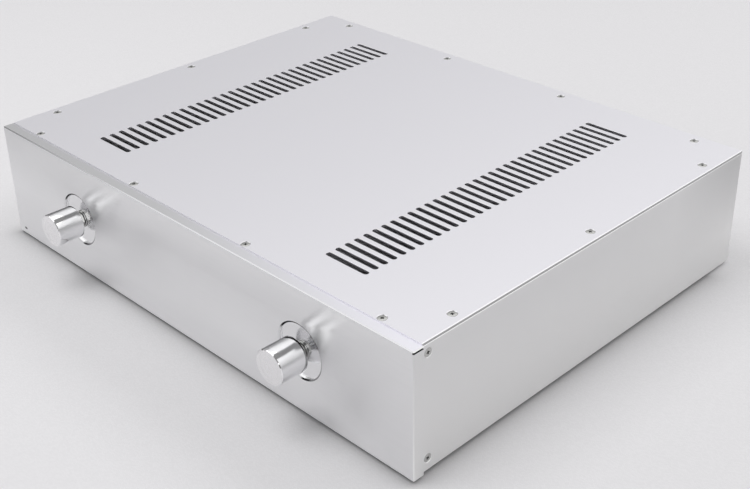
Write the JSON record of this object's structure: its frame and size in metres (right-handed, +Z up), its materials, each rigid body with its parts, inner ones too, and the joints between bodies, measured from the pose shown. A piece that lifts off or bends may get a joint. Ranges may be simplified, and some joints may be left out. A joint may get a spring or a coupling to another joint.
{
  "type": "amplifier chassis",
  "caption": "Low aluminium amplifier case with a thick brushed front panel, rotary knobs in shallow round recesses and a screwed cover with ventilation slots.",
  "frame": {"origin": "on the floor, under the middle of the bounding box", "axes": "+Z up, the front panel faces -Y, +X to the right as seen from above with the front towards the viewer"},
  "size_m": [0.43, 0.364, 0.0925],
  "materials": {
    "brushed_panel": "brushed along its length, edges bright cut",
    "blasted_cover": "fine bead blasted and clear anodised, top edges bright cut",
    "satin_case": "satin",
    "mill_aluminium": "mill finish",
    "polished_knob": "turned and polished",
    "screw_steel": "zinc plated",
    "grub_steel": "black oxide",
    "shaft_steel": "turned",
    "can_steel": "pressed and zinc plated",
    "nut_brass": "nickel plated",
    "foot_rubber": "matt black"
  },
  "bodies": {
    "chassis": {"front_panel": "brushed_panel", "top_cover": "blasted_cover", "left_side_panel": "satin_case", "right_side_panel": "satin_case", "back_panel": "satin_case", "bottom_plate": "mill_aluminium", "front_top_rail": "mill_aluminium", "front_bottom_rail": "mill_aluminium", "rear_top_rail": "mill_aluminium", "rear_bottom_rail": "mill_aluminium", "left_control_body": "can_steel", "right_control_body": "can_steel", "left_control_washer": "nut_brass", "right_control_washer": "nut_brass", "left_control_nut": "nut_brass", "right_control_nut": "nut_brass", "cover_screw_front_1": "screw_steel", "cover_screw_front_2": "screw_steel", "cover_screw_front_3": "screw_steel", "cover_screw_front_4": "screw_steel", "cover_screw_back_1": "screw_steel", "cover_screw_back_2": "screw_steel", "cover_screw_back_3": "screw_steel", "cover_screw_back_4": "screw_steel", "cover_screw_left_1": "screw_steel", "cover_screw_left_2": "screw_steel", "cover_screw_left_3": "screw_steel", "cover_screw_right_1": "screw_steel", "cover_screw_right_2": "screw_steel", "cover_screw_right_3": "screw_steel", "side_screw_left_top": "screw_steel", "side_screw_left_bottom": "screw_steel", "side_screw_right_top": "screw_steel", "side_screw_right_bottom": "screw_steel", "back_screw_left_top": "screw_steel", "back_screw_left_bottom": "screw_steel", "back_screw_right_top": "screw_steel", "back_screw_right_bottom": "screw_steel", "bottom_screw_front_left": "screw_steel", "bottom_screw_front_right": "screw_steel", "bottom_screw_middle_left": "screw_steel", "bottom_screw_middle_right": "screw_steel", "bottom_screw_back_left": "screw_steel", "bottom_screw_back_right": "screw_steel", "panel_screw_left_top": "screw_steel", "panel_screw_left_bottom": "screw_steel", "panel_screw_right_top": "screw_steel", "panel_screw_right_bottom": "screw_steel", "foot_front_left": "foot_rubber", "foot_front_right": "foot_rubber", "foot_back_left": "foot_rubber", "foot_back_right": "foot_rubber"},
    "left_knob": {"left_knob": "polished_knob", "left_knob_grub_screw": "grub_steel", "left_control_shaft": "shaft_steel"},
    "right_knob": {"right_knob": "polished_knob", "right_knob_grub_screw": "grub_steel", "right_control_shaft": "shaft_steel"}
  },
  "joints": [
    {"name": "left_knob_turn", "type": "hinge", "parent": "chassis", "child": "left_knob", "pos_m": [-0.12, -0.158, 0.0465], "axis": [0, 1, 0], "range_deg": [-150, 150]},
    {"name": "right_knob_turn", "type": "hinge", "parent": "chassis", "child": "right_knob", "pos_m": [0.12, -0.158, 0.0465], "axis": [0, 1, 0], "range_deg": [-150, 150]}
  ]
}
